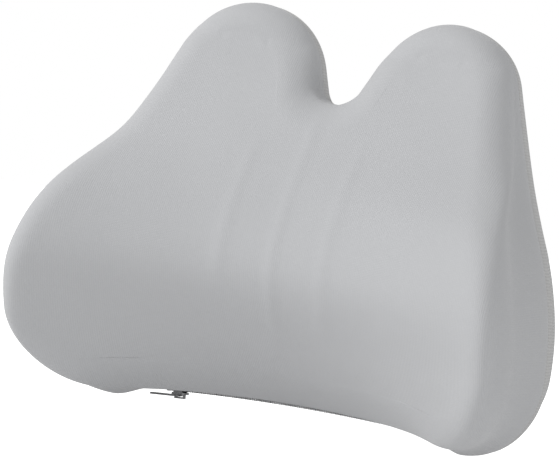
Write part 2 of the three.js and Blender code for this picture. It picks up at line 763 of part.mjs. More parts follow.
function buckle() {
  const z0 = STRAP_Z - BUCKLE_W / 2;
  const z1 = STRAP_Z + BUCKLE_W / 2;
  const y0 = BUCKLE_Y - BUCKLE_T / 2;
  const y1 = BUCKLE_Y + BUCKLE_T / 2;
  const inner0 = z0 + STRAP_END_EDGE;
  const inner1 = z1 - STRAP_END_EDGE;
  const thinHalf = STRAP_END_T / 2;
  const halfSlot = SLOT_LENGTH / 2;
  const slot = (x) =>
    box([x, y0 - CUT, STRAP_Z - halfSlot], [x + SLOT_W, y1 + CUT, STRAP_Z + halfSlot]);
  // Removes all but the thin middle of a buckle's strap end.
  const thinned = (solid, from, to) =>
    solid
      .subtract(box([from, BUCKLE_Y + thinHalf, inner0], [to, y1 + CUT, inner1]))
      .subtract(box([from, y0 - CUT, inner0], [to, BUCKLE_Y - thinHalf, inner1]));

  // Socket: a flat box open at +X, with a window for a prong in each narrow side.
  const slotX = SOCKET_LEFT + BAR_T;
  const cavityX = slotX + SLOT_W + SOCKET_CORE;
  const body = roundedPlate(SOCKET_LEFT, SOCKET_RIGHT, z0, z1, y0, y1, BUCKLE_CORNER_R);
  const low = y0 + SOCKET_FACE_T;
  const high = y1 - SOCKET_FACE_T;
  const cavity = box(
    [cavityX, low, z0 + SOCKET_SIDE_T],
    [SOCKET_RIGHT + CUT, high, z1 - SOCKET_SIDE_T],
  );
  const window = box([WINDOW_FROM, low, z0 - CUT], [WINDOW_TO, high, z1 + CUT]);
  const hollow = body.subtract(cavity).subtract(window);
  const socket = thinned(hollow, SOCKET_LEFT - CUT, slotX + SLOT_W).subtract(slot(slotX));
  add("buckle_socket", geometryOf(socket), buckleBlack);

  // Plug: the base outside the socket, its strap bar, and a middle tongue that guides it.
  const baseX = SOCKET_RIGHT + PLUG_GAP;
  const plugSlot = PLUG_RIGHT - BAR_T - SLOT_W;
  const base = roundedPlate(baseX, PLUG_RIGHT, z0, z1, y0, y1, BUCKLE_CORNER_R);
  const square = box([baseX, y0, z0], [baseX + PLUG_SQUARE, y1, z1]);
  const tongueHalf = TONGUE_T / 2;
  const tongue = roundedPlate(
    cavityX + TONGUE_GAP,
    baseX + TONGUE_ROOT,
    STRAP_Z - TONGUE_W / 2,
    STRAP_Z + TONGUE_W / 2,
    BUCKLE_Y - tongueHalf,
    BUCKLE_Y + tongueHalf,
    2,
  );
  const plug = thinned(base.add(square), plugSlot, PLUG_RIGHT + CUT)
    .subtract(slot(plugSlot))
    .add(tongue);
  add("buckle_plug", geometryOf(plug), buckleBlack);

  // Prongs: a slim arm from the plug's face, with a hooked head in the socket's window. The
  // outline gives X and the distance from the strap's middle.
  const profile = new THREE.Shape();
  const root = baseX - PRONG_ROOT;
  profile.moveTo(root, 8);
  profile.lineTo(root, 11.5);
  profile.lineTo(3.4, 13.6);
  profile.lineTo(3.4, 17.4);
  profile.quadraticCurveTo(-3, 18.4, -9, 13.4);
  profile.quadraticCurveTo(-10.4, 11, -8, 10);
  profile.lineTo(1, 10);
  profile.closePath();
  const arm = new THREE.ExtrudeGeometry(profile, {
    depth: 2 * tongueHalf,
    bevelEnabled: false,
    curveSegments: 5,
  });
  arm.rotateX(Math.PI / 2).translate(0, BUCKLE_Y + tongueHalf, 0);
  const upper = manifoldOf(arm);
  add("prong_upper", geometryOf(upper.translate([0, 0, STRAP_Z])), buckleBlack);
  const lower = upper.mirror([0, 0, 1]).translate([0, 0, STRAP_Z]);
  add("prong_lower", geometryOf(lower), buckleBlack);
}

function triGlide() {
  const x0 = GLIDE_X - GLIDE_LENGTH / 2;
  const x1 = GLIDE_X + GLIDE_LENGTH / 2;
  const z0 = STRAP_Z - GLIDE_W / 2;
  const z1 = STRAP_Z + GLIDE_W / 2;
  const y0 = GLIDE_Y - GLIDE_T / 2;
  const y1 = GLIDE_Y + GLIDE_T / 2;
  const frame = roundedPlate(x0, x1, z0, z1, y0, y1, GLIDE_CORNER_R);
  const slotHalf = SLOT_LENGTH / 2;
  const centreHalf = GLIDE_CENTRE_W / 2;
  const cut = (from, to, low, high) =>
    box([from, low, STRAP_Z - slotHalf], [to, high, STRAP_Z + slotHalf]);
  const slot = (from, to) => cut(from, to, y0 - CUT, y1 + CUT);
  const beside = [GLIDE_X - 2 * centreHalf, GLIDE_X + 2 * centreHalf];
  const glide = frame
    .subtract(slot(x0 + GLIDE_BAR, GLIDE_X - centreHalf))
    .subtract(slot(GLIDE_X + centreHalf, x1 - GLIDE_BAR))
    .subtract(cut(...beside, GLIDE_Y + centreHalf, y1 + CUT))
    .subtract(cut(...beside, y0 - CUT, GLIDE_Y - centreHalf));
  add("tri_glide", geometryOf(glide), buckleBlack);
}

function careLabel() {
  const label = roundedPlate(
    LABEL_X - LABEL_W / 2,
    LABEL_X + LABEL_W / 2,
    LABEL_Z - LABEL_H / 2,
    LABEL_Z + LABEL_H / 2,
    SKIN_GAP,
    SKIN_GAP + LABEL_T,
    1,
    2,
  );
  add("care_label", geometryOf(label), labelWhite);
}

cushion();
zip();
zipSlider();
straps();
patches();
buckle();
triGlide();
careLabel();

headrest.position.set(0, 0, -MOUNT_Z);

export default headrest;
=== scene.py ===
"""Looks of a chair headrest attachment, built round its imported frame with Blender 4.5.

Blender works in metres, +Z up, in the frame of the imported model. The cushion's own sizes
below are millimetres, with heights measured from the bottom of its two lobes, and mm()
turns them into places in the frame.
"""
import math

import bmesh
import bpy
import numpy as np
from mathutils import Matrix, Vector


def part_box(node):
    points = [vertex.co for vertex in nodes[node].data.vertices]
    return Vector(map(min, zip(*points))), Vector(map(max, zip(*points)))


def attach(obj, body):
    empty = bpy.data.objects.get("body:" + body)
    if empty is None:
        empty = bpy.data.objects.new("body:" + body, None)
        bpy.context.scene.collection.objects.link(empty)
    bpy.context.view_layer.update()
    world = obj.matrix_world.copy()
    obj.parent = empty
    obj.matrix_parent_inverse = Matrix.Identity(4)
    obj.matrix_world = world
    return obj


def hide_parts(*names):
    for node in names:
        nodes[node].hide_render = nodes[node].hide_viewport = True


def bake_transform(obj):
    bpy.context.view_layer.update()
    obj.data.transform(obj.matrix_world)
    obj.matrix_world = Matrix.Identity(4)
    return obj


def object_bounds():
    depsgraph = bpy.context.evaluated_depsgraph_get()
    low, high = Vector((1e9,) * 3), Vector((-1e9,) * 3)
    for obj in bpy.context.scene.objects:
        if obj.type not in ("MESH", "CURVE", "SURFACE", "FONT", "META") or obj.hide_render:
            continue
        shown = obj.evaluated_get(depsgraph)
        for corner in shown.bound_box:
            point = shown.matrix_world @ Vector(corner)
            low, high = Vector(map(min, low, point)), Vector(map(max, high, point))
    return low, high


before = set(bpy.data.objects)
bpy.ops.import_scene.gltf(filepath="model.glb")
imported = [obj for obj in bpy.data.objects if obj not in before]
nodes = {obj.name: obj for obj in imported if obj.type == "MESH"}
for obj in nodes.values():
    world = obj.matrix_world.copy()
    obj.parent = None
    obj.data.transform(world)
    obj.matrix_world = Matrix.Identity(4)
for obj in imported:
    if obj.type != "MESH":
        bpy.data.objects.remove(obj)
cad_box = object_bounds()
scene = bpy.context.scene

MM = 0.001
MOUNT_Z = 152.0  # height of the frame's origin above the bottom of the lobes


def mm(points):
    """Places in the frame, in metres, of points given in the cushion's millimetres."""
    p = np.array(points, float).reshape(-1, 3)
    return (p - [0, 0, MOUNT_Z]) * MM


# ======================================================================================
# Camera, light and floor
# ======================================================================================

CAMERA_AZIMUTH = math.radians(23.71)
CAMERA_ELEVATION = math.radians(0.9)
CAMERA_ROLL = math.radians(8.04)
CAMERA_DISTANCE = 1.6984
CAMERA_AIM = Vector((0, -0.040, -0.042))
CAMERA_RIGHT = -0.01944  # the camera stands this far along its own right and up axes
CAMERA_UP = 0.00035
CAMERA_LENS = 183.75


def make_camera():
    """The camera, aimed at CAMERA_AIM and rolled about its own line of sight."""
    az, el, roll = CAMERA_AZIMUTH, CAMERA_ELEVATION, CAMERA_ROLL
    back = Vector((math.sin(az) * math.cos(el), -math.cos(az) * math.cos(el), math.sin(el)))
    level = Vector((math.cos(az), math.sin(az), 0))
    upright = back.cross(level)
    right = level * math.cos(roll) + upright * math.sin(roll)
    up = upright * math.cos(roll) - level * math.sin(roll)
    place = CAMERA_AIM + back * CAMERA_DISTANCE + right * CAMERA_RIGHT + up * CAMERA_UP
    data = bpy.data.cameras.new("camera")
    data.lens = CAMERA_LENS
    data.clip_start, data.clip_end = 0.05, 50
    camera = bpy.data.objects.new("camera", data)
    camera.location = place
    camera.rotation_mode = "QUATERNION"
    camera.rotation_quaternion = Matrix((right, up, back)).transposed().to_quaternion()
    scene.collection.objects.link(camera)
    scene.camera = camera


def area_light(name, place, size, power):
    """A round white light that faces the frame's origin."""
    data = bpy.data.lights.new(name, "AREA")
    data.shape = "DISK"
    data.size = size
    data.energy = power
    light = bpy.data.objects.new(name, data)
    light.location = place
    light.rotation_mode = "QUATERNION"
    light.rotation_quaternion = (-Vector(place)).to_track_quat("-Z", "Y")
    scene.collection.objects.link(light)


def seen_white(tree, rest):
    """A factor that is 1 where the camera looks straight at a surface, and `rest` elsewhere."""
    path = tree.nodes.new("ShaderNodeLightPath")
    node = tree.nodes.new("ShaderNodeMix")
    tree.links.new(path.outputs["Is Camera Ray"], node.inputs["Factor"])
    node.inputs["A"].default_value = rest
    node.inputs["B"].default_value = 1.0
    return node.outputs["Result"]


AMBIENT = 0.57
FLOOR_GLOW = 0.36
FLOOR_TONE = 0.55
FLOOR_REACH = 9.0
FLOOR_GAP = 0.002  # metres between the floor and the lowest point of the part
LIGHTS = [  # name, place, size, power
    ("key", (-1.7, -1.3, 1.25), 1.1, 38.5),
    ("fill", (0.95, -2.1, 0.1), 1.2, 13),
    ("edge", (1.9, 1.0, 0.6), 0.9, 4),
]


def make_stage():
    """A plain white world, three lights and a white floor just under the part."""
    scene.view_settings.view_transform = "Standard"
    world = bpy.data.worlds.new("studio")
    world.use_nodes = True
    sky = world.node_tree.nodes["Background"]
    sky.inputs["Color"].default_value = (1, 1, 1, 1)
    world.node_tree.links.new(seen_white(world.node_tree, AMBIENT), sky.inputs["Strength"])
    scene.world = world
    for name, place, size, power in LIGHTS:
        area_light(name, place, size, power)
    height = cad_box[0].z - FLOOR_GAP
    mesh = bpy.data.meshes.new("floor")
    signs = [(-1, -1), (1, -1), (1, 1), (-1, 1)]
    corners = [(a * FLOOR_REACH, b * FLOOR_REACH, height) for a, b in signs]
    mesh.from_pydata(corners, [], [(0, 1, 2, 3)])
    floor = bpy.data.objects.new("floor", mesh)
    scene.collection.objects.link(floor)
    paint = bpy.data.materials.new("floor_white")
    paint.use_nodes = True
    shader = paint.node_tree.nodes["Principled BSDF"]
    shader.inputs["Base Color"].default_value = (FLOOR_TONE, FLOOR_TONE, FLOOR_TONE, 1)
    shader.inputs["Roughness"].default_value = 0.9
    shader.inputs["Specular IOR Level"].default_value = 0.1
    shader.inputs["Emission Color"].default_value = (1, 1, 1, 1)
    glow = seen_white(paint.node_tree, FLOOR_GLOW)
    paint.node_tree.links.new(glow, shader.inputs["Emission Strength"])
    mesh.materials.append(paint)


# ======================================================================================
# Materials
# ======================================================================================


class Graph:
    """A material's node tree, with short ways to add nodes. Values are sockets or numbers."""

    def __init__(self, name):
        self.material = bpy.data.materials.new(name)
        self.material.use_nodes = True
        self.tree = self.material.node_tree
        self.shader = self.tree.nodes["Principled BSDF"]

    def put(self, socket, value):
        if isinstance(value, bpy.types.NodeSocket):
            self.tree.links.new(value, socket)
        else:
            socket.default_value = value

    def math(self, operation, *values):
        node = self.tree.nodes.new("ShaderNodeMath")
        node.operation = operation
        for socket, value in zip(node.inputs, values):
            self.put(socket, value)
        return node.outputs[0]

    def coordinates(self, kind="Object"):
        return self.tree.nodes.new("ShaderNodeTexCoord").outputs[kind]

    def split(self, vector):
        node = self.tree.nodes.new("ShaderNodeSeparateXYZ")
        self.put(node.inputs[0], vector)
        return node.outputs

    def noise(self, vector, size, detail=3.0, roughness=0.5):
        """Noise from about 0 to 1 whose lumps are about `size` metres across."""
        node = self.tree.nodes.new("ShaderNodeTexNoise")
        self.put(node.inputs["Vector"], vector)
        node.inputs["Scale"].default_value = 1 / size
        node.inputs["Detail"].default_value = detail
        node.inputs["Roughness"].default_value = roughness
        return node.outputs["Fac"]

    def mix(self, factor, a, b):
        node = self.tree.nodes.new("ShaderNodeMix")
        node.data_type = "RGBA"
        self.put(node.inputs["Factor"], factor)
        self.put(node.inputs["A"], a)
        self.put(node.inputs["B"], b)
        return node.outputs["Result"]

    def bump(self, height, depth, strength=1.0, below=None):
        node = self.tree.nodes.new("ShaderNodeBump")
        self.put(node.inputs["Height"], height)
        node.inputs["Distance"].default_value = depth
        node.inputs["Strength"].default_value = strength
        if below is not None:
            self.put(node.inputs["Normal"], below)
        return node.outputs["Normal"]

    def set(self, **values):
        for key, value in values.items():
            self.put(self.shader.inputs[key.replace("_", " ")], value)

    def triplanar(self, pattern):
        """A flat pattern(u, v) laid on the surface along the axis that it faces most."""
        x, y, z = self.split(self.coordinates())
        normal = self.split(self.coordinates("Normal"))
        powers = [self.math("POWER", self.math("ABSOLUTE", n), 6.0) for n in normal]
        total = self.math("ADD", self.math("ADD", powers[0], powers[1]), powers[2])
        flats = [pattern(y, z), pattern(x, z), pattern(x, y)]
        parts = [self.math("MULTIPLY", p, f) for p, f in zip(powers, flats)]
        summed = self.math("ADD", self.math("ADD", parts[0], parts[1]), parts[2])
        return self.math("DIVIDE", summed, total)


def wave(g, value, pitch, phase=0.0):
    """A sine from 0 to 1 along `value`, a socket in metres."""
    turns = g.math("MULTIPLY_ADD", value, 2 * math.pi / pitch, phase)
    return g.math("MULTIPLY_ADD", g.math("SINE", turns), 0.5, 0.5)


def knit_pattern(g, wale, course):
    """Height of a weft knit: columns of V-shaped stitches."""

    def pattern(u, v):
        place = g.math("MULTIPLY", u, 1 / wale)
        slant = g.math("PINGPONG", place, 0.5)
        column = g.math("ABSOLUTE", g.math("SINE", g.math("MULTIPLY", place, math.pi)))
        phase = g.math("ADD", g.math("MULTIPLY", v, 1 / course), slant)
        loop = g.math("SINE", g.math("MULTIPLY", phase, 2 * math.pi))
        return g.math("MULTIPLY", column, g.math("MULTIPLY_ADD", loop, 0.3, 0.7))

    return pattern


def mesh_pattern(g, pitch):
    """Height of a warp-knitted spacer mesh: rows of small staggered openings."""

    def pattern(u, v):
        across = g.math("MULTIPLY", u, 2 * math.pi / pitch)
        along = g.math("MULTIPLY", v, 2 * math.pi / (pitch * 1.7))
        both = g.math("MULTIPLY", g.math("COSINE", across), g.math("COSINE", along))
        opening = g.math("SMOOTH_MAX", both, g.math("MULTIPLY", both, -1.0), 0.3)
        return g.math("SUBTRACT", 1.0, g.math("POWER", opening, 2.0))

    return pattern


def knit_material():
    """Fine stretch knit, light grey with a slight cool cast, a little mottling and painted shade in
    the stitches' valleys.
    """
    g = Graph("cover_knit")
    at = g.coordinates()
    stitches = g.triplanar(knit_pattern(g, 0.00115, 0.00095))
    fibres = g.noise(at, 0.0006, 4.0, 0.7)
    cloudy = g.noise(at, 0.045, 3.0)
    yarn = g.mix(fibres, (0.40, 0.405, 0.415, 1), (0.47, 0.475, 0.487, 1))
    # the stitches' valleys are darkened towards a dark grey: painted shade
    shaded = g.mix(g.math("MULTIPLY_ADD", stitches, -0.16, 0.16), yarn, (0.20, 0.203, 0.212, 1))
    toned = g.mix(g.math("MULTIPLY", cloudy, 0.10), shaded, (0.55, 0.552, 0.56, 1))
    relief = g.bump(stitches, 0.00022, 0.55)
    soft = g.bump(g.noise(at, 0.006, 2.0), 0.0004, 0.25, relief)
    g.set(Base_Color=toned, Normal=g.bump(fibres, 0.0001, 0.5, soft))
    g.set(Roughness=g.math("MULTIPLY_ADD", fibres, 0.10, 0.82))
    g.set(Sheen_Weight=0.30, Sheen_Roughness=0.45, Specular_IOR_Level=0.18)
    return g.material


def back_material():
    """Warp-knitted spacer fabric of the back panel, a slightly lighter and warmer grey, with painted
    shade in its openings.
    """
    g = Graph("back_fabric")
    at = g.coordinates()
    openings = g.triplanar(mesh_pattern(g, 0.0021))
    fibres = g.noise(at, 0.0005, 4.0, 0.7)
    yarn = g.mix(fibres, (0.43, 0.43, 0.43, 1), (0.52, 0.52, 0.515, 1))
    # the mesh's openings are darkened towards near black: painted shade in its hollows
    opening_shade = g.math("MULTIPLY", g.math("SUBTRACT", 1.0, openings), 0.28)
    g.set(Base_Color=g.mix(opening_shade, yarn, (0.11, 0.11, 0.112, 1)))
    g.set(Normal=g.bump(fibres, 0.0001, 0.5, g.bump(openings, 0.00035, 0.5)))
    g.set(Roughness=g.math("MULTIPLY_ADD", fibres, 0.10, 0.82))
    g.set(Sheen_Weight=0.2, Sheen_Roughness=0.5, Specular_IOR_Level=0.2)
    return g.material


def patch_material():
    """Close plain weave in the back panel's grey, for the two anchor patches."""
    g = Graph("patch_weave")
    x, _, z = g.split(g.coordinates())
    weft = wave(g, z, 0.0013)
    warp = wave(g, x, 0.0013, math.pi / 2)
    weave = g.math("MAXIMUM", weft, warp)
    fibres = g.noise(g.coordinates(), 0.0005, 4.0, 0.7)
    yarn = g.mix(fibres, (0.27, 0.27, 0.275, 1), (0.34, 0.34, 0.342, 1))
    shade = g.math("MULTIPLY_ADD", weave, -0.4, 0.4)
    g.set(Base_Color=g.mix(shade, yarn, (0.12, 0.12, 0.125, 1)))
    g.set(Normal=g.bump(fibres, 0.0001, 0.5, g.bump(weave, 0.0003, 0.8)))
    g.set(Roughness=0.85, Sheen_Weight=0.15, Specular_IOR_Level=0.2)
    return g.material


def webbing_material():
    """Woven elastic: fine crosswise ribs, thin lengthwise yarns and a firmer edge."""
    g = Graph("webbing")
    u, v, _ = g.split(g.coordinates("UV"))
    rib = wave(g, u, 0.0011)
    yarns = wave(g, v, 0.0009)
    edge = g.math("GREATER_THAN", g.math("ABSOLUTE", v), 0.0128)
    weave = g.math("MULTIPLY_ADD", rib, 0.7, g.math("MULTIPLY", yarns, 0.3))
    fuzz = g.noise(g.coordinates(), 0.0004, 4.0, 0.7)
    yarn = g.mix(fuzz, (0.018, 0.018, 0.020, 1), (0.046, 0.046, 0.050, 1))
    lit = g.mix(g.math("MULTIPLY", weave, 0.35), yarn, (0.085, 0.085, 0.09, 1))
    g.set(Base_Color=g.mix(g.math("MULTIPLY", edge, 0.4), lit, (0.02, 0.02, 0.022, 1)))
    g.set(Normal=g.bump(fuzz, 0.0001, 0.4, g.bump(weave, 0.0004, 0.8)))
    g.set(Roughness=0.82, Sheen_Weight=0.15, Specular_IOR_Level=0.25)
    return g.material


def tape_material():
    """Herringbone zip tape, dark grey, with a painted highlight on the twill's raised lines."""
    g = Graph("zip_tape")
    x, y, _ = g.split(g.coordinates())
    slant = g.math("PINGPONG", y, 0.0012)
    twill = wave(g, g.math("ADD", x, slant), 0.0008)
    fibres = g.noise(g.coordinates(), 0.0004, 3.0)
    yarn = g.mix(fibres, (0.050, 0.050, 0.054, 1), (0.090, 0.090, 0.094, 1))
    # lighter on the twill's raised lines: painted highlight
    g.set(Base_Color=g.mix(g.math("MULTIPLY", twill, 0.4), yarn, (0.15, 0.15, 0.155, 1)))
    g.set(Normal=g.bump(twill, 0.0002, 0.7), Roughness=0.85, Specular_IOR_Level=0.25)
    return g.material


def nylon_material():
    """Nylon monofilament of the zip's coils."""
    g = Graph("zip_coil")
    rough = g.noise(g.coordinates(), 0.002, 2.0)
    g.set(Base_Color=g.mix(rough, (0.045, 0.045, 0.048, 1), (0.075, 0.075, 0.080, 1)))
    g.set(Roughness=g.math("MULTIPLY_ADD", rough, 0.15, 0.32), Specular_IOR_Level=0.45)
    return g.material


def metal_material():
    """Die-cast zinc in dark lacquer, worn a little brighter in patches."""
    g = Graph("zip_metal")
    at = g.coordinates()
    worn = g.math("SMOOTH_MIN", g.noise(at, 0.003, 5.0, 0.6), 0.6, 0.1)
    fine = g.noise(at, 0.0005, 4.0, 0.7)
    g.set(Base_Color=g.mix(worn, (0.13, 0.13, 0.135, 1), (0.30, 0.30, 0.305, 1)))
    g.set(Roughness=g.math("MULTIPLY_ADD", fine, 0.25, 0.25), Metallic=0.9)
    g.set(Normal=g.bump(fine, 0.00005, 0.4))
    return g.material


def plastic_material():
    """Moulded acetal with a fine spark texture, near black."""
    g = Graph("buckle_plastic")
    at = g.coordinates()
    spark = g.noise(at, 0.0005, 3.0, 0.6)
    flow = g.noise(at, 0.02, 2.0)
    g.set(Base_Color=g.mix(flow, (0.014, 0.014, 0.015, 1), (0.024, 0.024, 0.026, 1)))
    g.set(Roughness=g.math("MULTIPLY_ADD", spark, 0.22, 0.36), Specular_IOR_Level=0.42)
    g.set(Normal=g.bump(spark, 0.00008, 0.45))
    return g.material


def label_material():
    """Blank satin ribbon with a close weave and a heat-cut edge."""
    g = Graph("label_satin")
    x, _, z = g.split(g.coordinates())
    weave = g.math("MULTIPLY", wave(g, x, 0.0005), wave(g, z, 0.0009))
    # lighter on the weave's raised yarns: painted highlight
    g.set(Base_Color=g.mix(weave, (0.80, 0.80, 0.785, 1), (0.90, 0.90, 0.89, 1)))
    g.set(Normal=g.bump(weave, 0.0001, 0.5), Roughness=0.45, Sheen_Weight=0.2)
    return g.material


def thread_material(name, dark, light):
    """Twisted sewing thread."""
    g = Graph(name)
    twist = g.noise(g.coordinates(), 0.0004, 2.0)
    g.set(Base_Color=g.mix(twist, dark, light), Roughness=0.6)
    g.set(Normal=g.bump(twist, 0.0001, 0.5), Sheen_Weight=0.2)
    return g.material


def plain_cloth(name, dark, light, pitch):
    """Thin close fabric, for the liners under the cover."""
    g = Graph(name)
    stitches = g.triplanar(knit_pattern(g, pitch, pitch * 0.8))
    # darker in the stitches' valleys and lighter on their crests: painted shade and painted
    # highlight
    g.set(Base_Color=g.mix(stitches, dark, light), Roughness=0.9)
    g.set(Normal=g.bump(stitches, 0.0002, 0.6), Sheen_Weight=0.2)
    return g.material


def foam_material():
    """Open-cell memory foam, warm white."""
    g = Graph("foam")
    cells = g.noise(g.coordinates(), 0.0012, 3.0, 0.6)
    g.set(Base_Color=g.mix(cells, (0.78, 0.73, 0.60, 1), (0.90, 0.87, 0.78, 1)))
    g.set(Normal=g.bump(cells, 0.0005, 0.8), Roughness=0.95)
    return g.material


# ======================================================================================
# Cushion surface, in millimetres
# ======================================================================================

# Half of the outline from the notch outwards: (radius, sweep in degrees, steps), or
# (None, length, steps) for a straight stretch.
OUTLINE = [
    (15.6, 74, 14),
    (None, 14.4, 4),
    (47, -113.3, 26),
    (40.3, -36.5, 8),
    (None, 24, 5),
    (500, 8.2, 14),
    (190, -23.1, 16),
    (45.4, -93.8, 22),
]
ARCH_STEPS = 26
BACK_ROUND_R = 11.0
FRONT_ROUND_R = 19.0
WALL_FLARE = 0.08  # how far the wall leans out at the front, per mm of its depth
WALL_BULGE = 0.1  # how far its middle stands out, per mm of its depth
LEAST_WALL = 4.0
RIM_LIP = 0.6  # the wall's depth is read this share of the front radius inside the outline
WING_X = 140.0  # where the wings' depth counts whole
HUB_Z = 42.0  # the rows of the front and back faces shrink towards this height
STATIONS_Z = np.array([0.0, 40, 80, 120, 160, 220])  # heights of the depths below
STATIONS_MIDDLE = np.array([25.0, 66.5, 93, 86, 64, 31])
STATIONS_WING = np.array([82.0, 57.5, 41, 33.5, 8, 14])
SEAM_SHARE = 0.5  # where the seam lies on the wall, from its back to its front
ZIP_DEPTH = 17.0  # where the zip lies, in front of the back's plane
ZIP_OPEN_HALF = 99.0  # the covers part for the zip out to here
ZIP_FADE = 14.0
ZIP_OPENING = 4.6
ZIP_BELOW = 60.0  # only the bottom edge, below this height, has the zip
ZIP_HALF_LENGTH = 92.0
FLARE_FROM = 78.0  # along the bottom arch the wall stands straight up to here
FLARE_FADE = 56.0

RIBS = [(-33.0, 62, 168), (0.0, 30, 192), (33.0, 40, 172)]  # x, lowest and highest height
RIB_HEIGHT = 0.55
RIB_WIDTH = 4.2
RIB_FADE = 26.0
GROOVE_DEPTH = 1.5
GROOVE_WIDTH = 2.2
SEAM_GAP = 0.2
SOFT_WAVES = 0.35  # height of the cover's slow unevenness
FRONT_FACE_ROWS = 30
BACK_FACE_ROWS = 12


def outline():
    """Points, inward normals and the bottom arch's (radius, top) of the whole outline."""
    points, normals = [(0.0, 0.0)], [(0.0, -1.0)]
    x = z = heading = 0.0

    def note():
        points.append((x, z))
        normals.append((math.sin(heading), -math.cos(heading)))

    def stretch(radius, amount, steps):
        nonlocal x, z, heading
        if radius is None:
            for _ in range(steps):
                x += amount / steps * math.cos(heading)
                z += amount / steps * math.sin(heading)
                note()
            return
        side = math.copysign(1, amount)
        cx = x - side * radius * math.sin(heading)
        cz = z + side * radius * math.cos(heading)
        for _ in range(steps):
            heading += math.radians(amount) / steps
            x = cx + side * radius * math.sin(heading)
            z = cz - side * radius * math.cos(heading)
            note()

    for radius, amount, steps in OUTLINE:
        stretch(radius, amount, steps)
    closing = -(heading + math.pi)
    arch_radius = x / math.sin(closing)
    stretch(arch_radius, math.degrees(closing), ARCH_STEPS)
    p, n = np.array(points), np.array(normals)
    p[:, 1] -= p[:, 1].min()
    arch_top = p[-1, 1]
    flip = np.array([-1.0, 1.0])
    p = np.vstack([p, p[-2:0:-1] * flip])
    n = np.vstack([n, n[-2:0:-1] * flip])
    return p, n, arch_radius, arch_top


def smooth(t):
    """A soft step from 0 to 1 as t goes from 0 to 1."""
    t = np.clip(t, 0, 1)
    return t * t * (3 - 2 * t)


def station_value(values, z):
    """Smooth curve through the depth stations, level beyond both ends."""
    zs = STATIONS_Z
    at = np.clip(z, zs[0], zs[-1])
    k = np.clip(np.searchsorted(zs, at, side="right") - 1, 0, len(zs) - 2)
    slope = np.empty_like(values)
    slope[1:-1] = (values[2:] - values[:-2]) / (zs[2:] - zs[:-2])
    slope[0] = (values[1] - values[0]) / (zs[1] - zs[0])
    slope[-1] = (values[-1] - values[-2]) / (zs[-1] - zs[-2])
    h = zs[k + 1] - zs[k]
    t = (at - zs[k]) / h
    low = (2 * t**3 - 3 * t**2 + 1) * values[k] + (t**3 - 2 * t**2 + t) * h * slope[k]
    high = (3 * t**2 - 2 * t**3) * values[k + 1] + (t**3 - t**2) * h * slope[k + 1]
    return low + high


def front_depth(x, z):
    """How far the moulded front stands before the back's plane, without its ribs."""
    share = (x / WING_X) ** 2
    return station_value(STATIONS_MIDDLE, z) + share * station_value(STATIONS_WING, z)


def rib_height(x, z):
    """The moulded ribs down the middle of the front."""
    total = np.zeros_like(x)
    for middle, low, high in RIBS:
        across = np.exp(-(((x - middle) / RIB_WIDTH) ** 2))
        along = smooth((z - low) / RIB_FADE) * smooth((high - z) / RIB_FADE)
        total += RIB_HEIGHT * across * along
    return total


class Cushion:
    """The cushion's outside: each stretch of it gives a row of points, one per column."""

    def __init__(self):
        points, normals, self.arch_radius, self.arch_top = outline()
        self.x, self.z = points.T
        self.nx, self.nz = normals.T
        self.arch_centre = self.arch_top - self.arch_radius
        lip = RIM_LIP * FRONT_ROUND_R
        rim = front_depth(self.x + lip * self.nx, self.z + lip * self.nz)
        self.wall_depth = np.maximum(rim - FRONT_ROUND_R - BACK_ROUND_R, LEAST_WALL)
        fading = smooth((np.abs(self.x) - ZIP_OPEN_HALF) / ZIP_FADE)
        self.zip = np.where(self.z < ZIP_BELOW, 1 - fading, 0.0)
        seam = BACK_ROUND_R + SEAM_SHARE * self.wall_depth
        self.seam = seam + self.zip * (ZIP_DEPTH - seam)
        level = 1 - smooth((np.abs(self.x) - FLARE_FROM) / FLARE_FADE)
        self.flare = WALL_FLARE * self.wall_depth * (1 - np.where(self.z < ZIP_BELOW, level, 0.0))

    def inset(self, amount, y):
        """The outline moved inwards by `amount`, at the place y."""
        x, z = self.x + amount * self.nx, self.z + amount * self.nz
        return np.column_stack([x, y + 0 * x, z])

    @staticmethod
    def shrunk(p, share):
        p[:, 0] *= share
        p[:, 2] = HUB_Z + (p[:, 2] - HUB_Z) * share
        return p

    def back_face(self, share):
        return self.shrunk(self.inset(BACK_ROUND_R, 0.0), share)

    def back_round(self, angle):
        a = math.radians(angle)
        return self.inset(BACK_ROUND_R * (1 - math.sin(a)), -BACK_ROUND_R * (1 - math.cos(a)))

    def wall_at(self, share):
        belly = WALL_BULGE * np.sin(math.pi * np.clip(share, 0, 1)) ** 2 * self.wall_depth
        amount = -(self.flare * share + (1 - self.zip) * belly)
        return self.inset(amount, -(BACK_ROUND_R + share * self.wall_depth))

    def front_round(self, angle):
        a = math.radians(angle)
        p = self.inset(FRONT_ROUND_R * (1 - math.cos(a)) - self.flare, 0.0)
        low = BACK_ROUND_R + self.wall_depth
        rise = front_depth(p[:, 0], p[:, 2]) + rib_height(p[:, 0], p[:, 2]) - low
        p[:, 1] = -(low + math.sin(a) * rise)
        return p

    def front_face(self, share):
        p = self.shrunk(self.inset(FRONT_ROUND_R - self.flare, 0.0), share)
        p[:, 1] = -front_depth(p[:, 0], p[:, 2]) - rib_height(p[:, 0], p[:, 2])
        return p

    def beside_seam(self, away):
        """A row of the wall `away` mm in front of the seam; away may differ per column."""
        return self.wall_at((self.seam + away - BACK_ROUND_R) / self.wall_depth)


cushion = Cushion()


def front_normals(p):
    """Outward normals of the front face."""
    step = 0.5
    x, z = p[:, 0], p[:, 2]

    def depth(a, b):
        return front_depth(a, b) + rib_height(a, b)

    slope_x = (depth(x + step, z) - depth(x - step, z)) / (2 * step)
    slope_z = (depth(x, z + step) - depth(x, z - step)) / (2 * step)
    n = np.column_stack([-slope_x, -np.ones_like(x), -slope_z])
    return n / np.linalg.norm(n, axis=1, keepdims=True)


